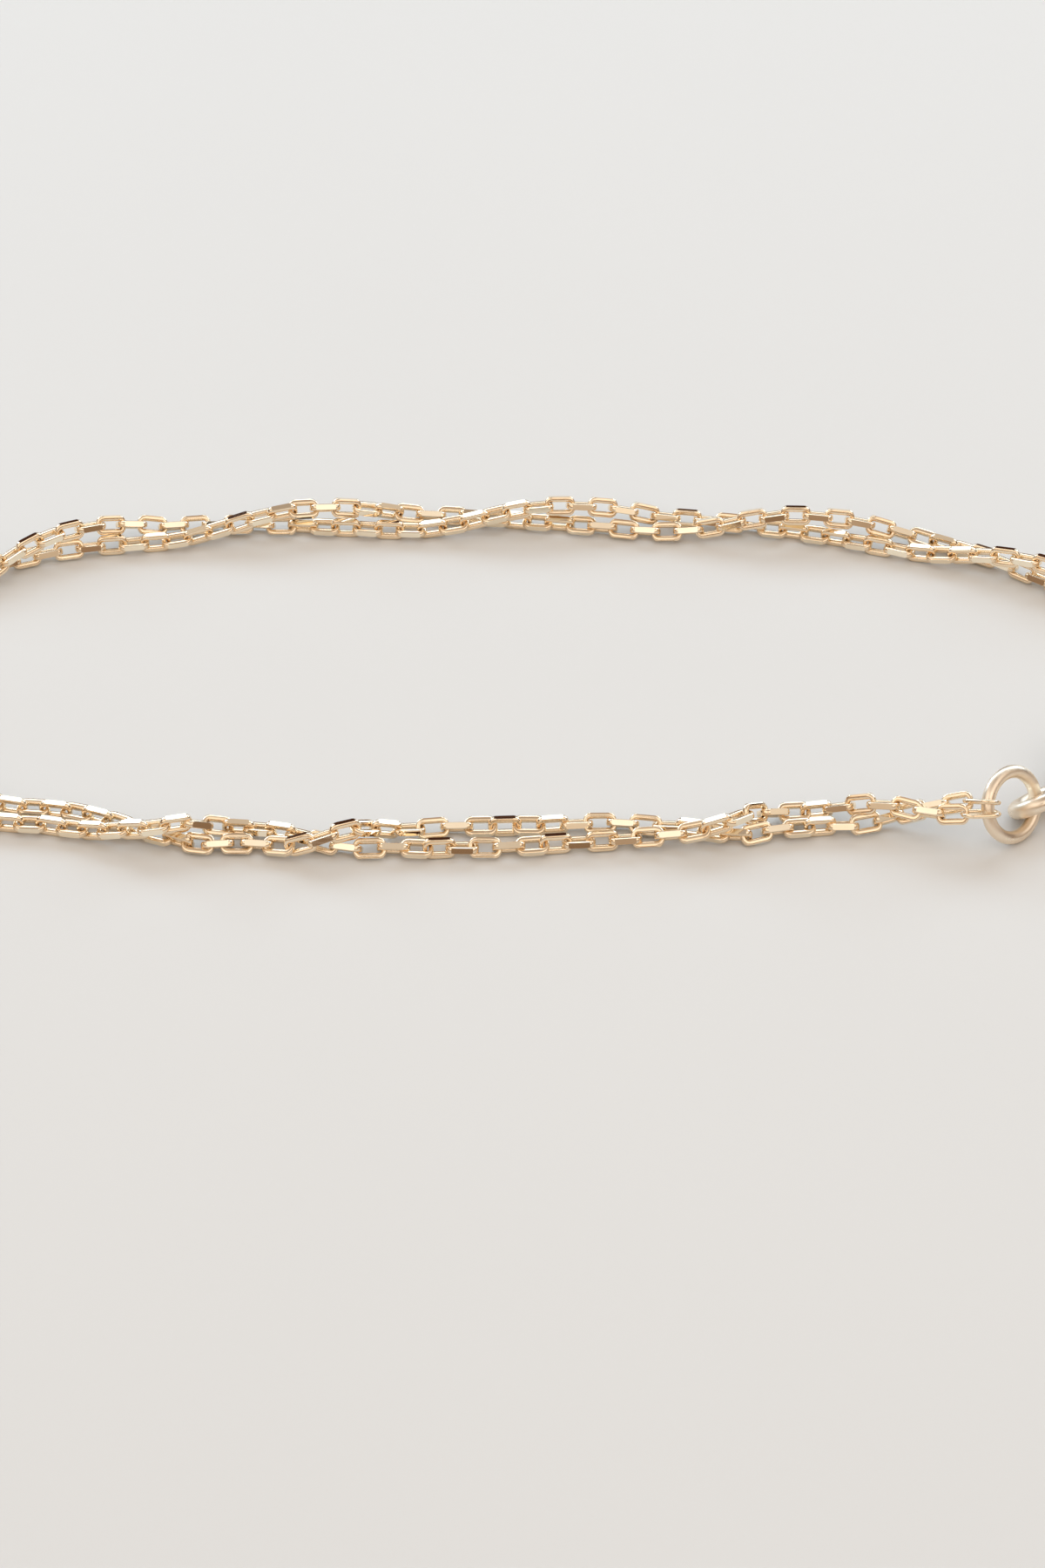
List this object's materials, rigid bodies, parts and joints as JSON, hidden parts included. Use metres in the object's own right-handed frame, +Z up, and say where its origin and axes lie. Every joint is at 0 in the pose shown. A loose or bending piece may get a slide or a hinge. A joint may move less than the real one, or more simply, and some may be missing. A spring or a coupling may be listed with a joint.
{
  "type": "two-strand cable chain bracelet",
  "caption": "Fine pale gold bracelet of loosely twisted diamond-cut cable chains joined by jump rings and a plain ring clasp, lying fastened.",
  "frame": {"origin": "middle of the bracelet's footprint, on the surface that it lies on", "axes": "+X along the long way of the loop towards the clasp, +Y from the front stretch to the back stretch, +Z up from the surface"},
  "size_m": [0.0769, 0.0325, 0.0041],
  "materials": {
    "cut_gold_chain": "pale yellow gold, polished, with flat diamond-cut faces on the outer sides of the links",
    "polished_gold_wire": "pale yellow gold, softly polished round wire with fine rubbing marks",
    "polished_gold_clasp": "pale yellow gold, softly polished round wire with a soldered neck"
  },
  "bodies": {
    "root": {"chain_strand_a": "cut_gold_chain", "chain_strand_b": "cut_gold_chain", "jump_ring_front": "polished_gold_wire", "jump_ring_rear": "polished_gold_wire", "ring_clasp": "polished_gold_clasp"}
  },
  "joints": []
}
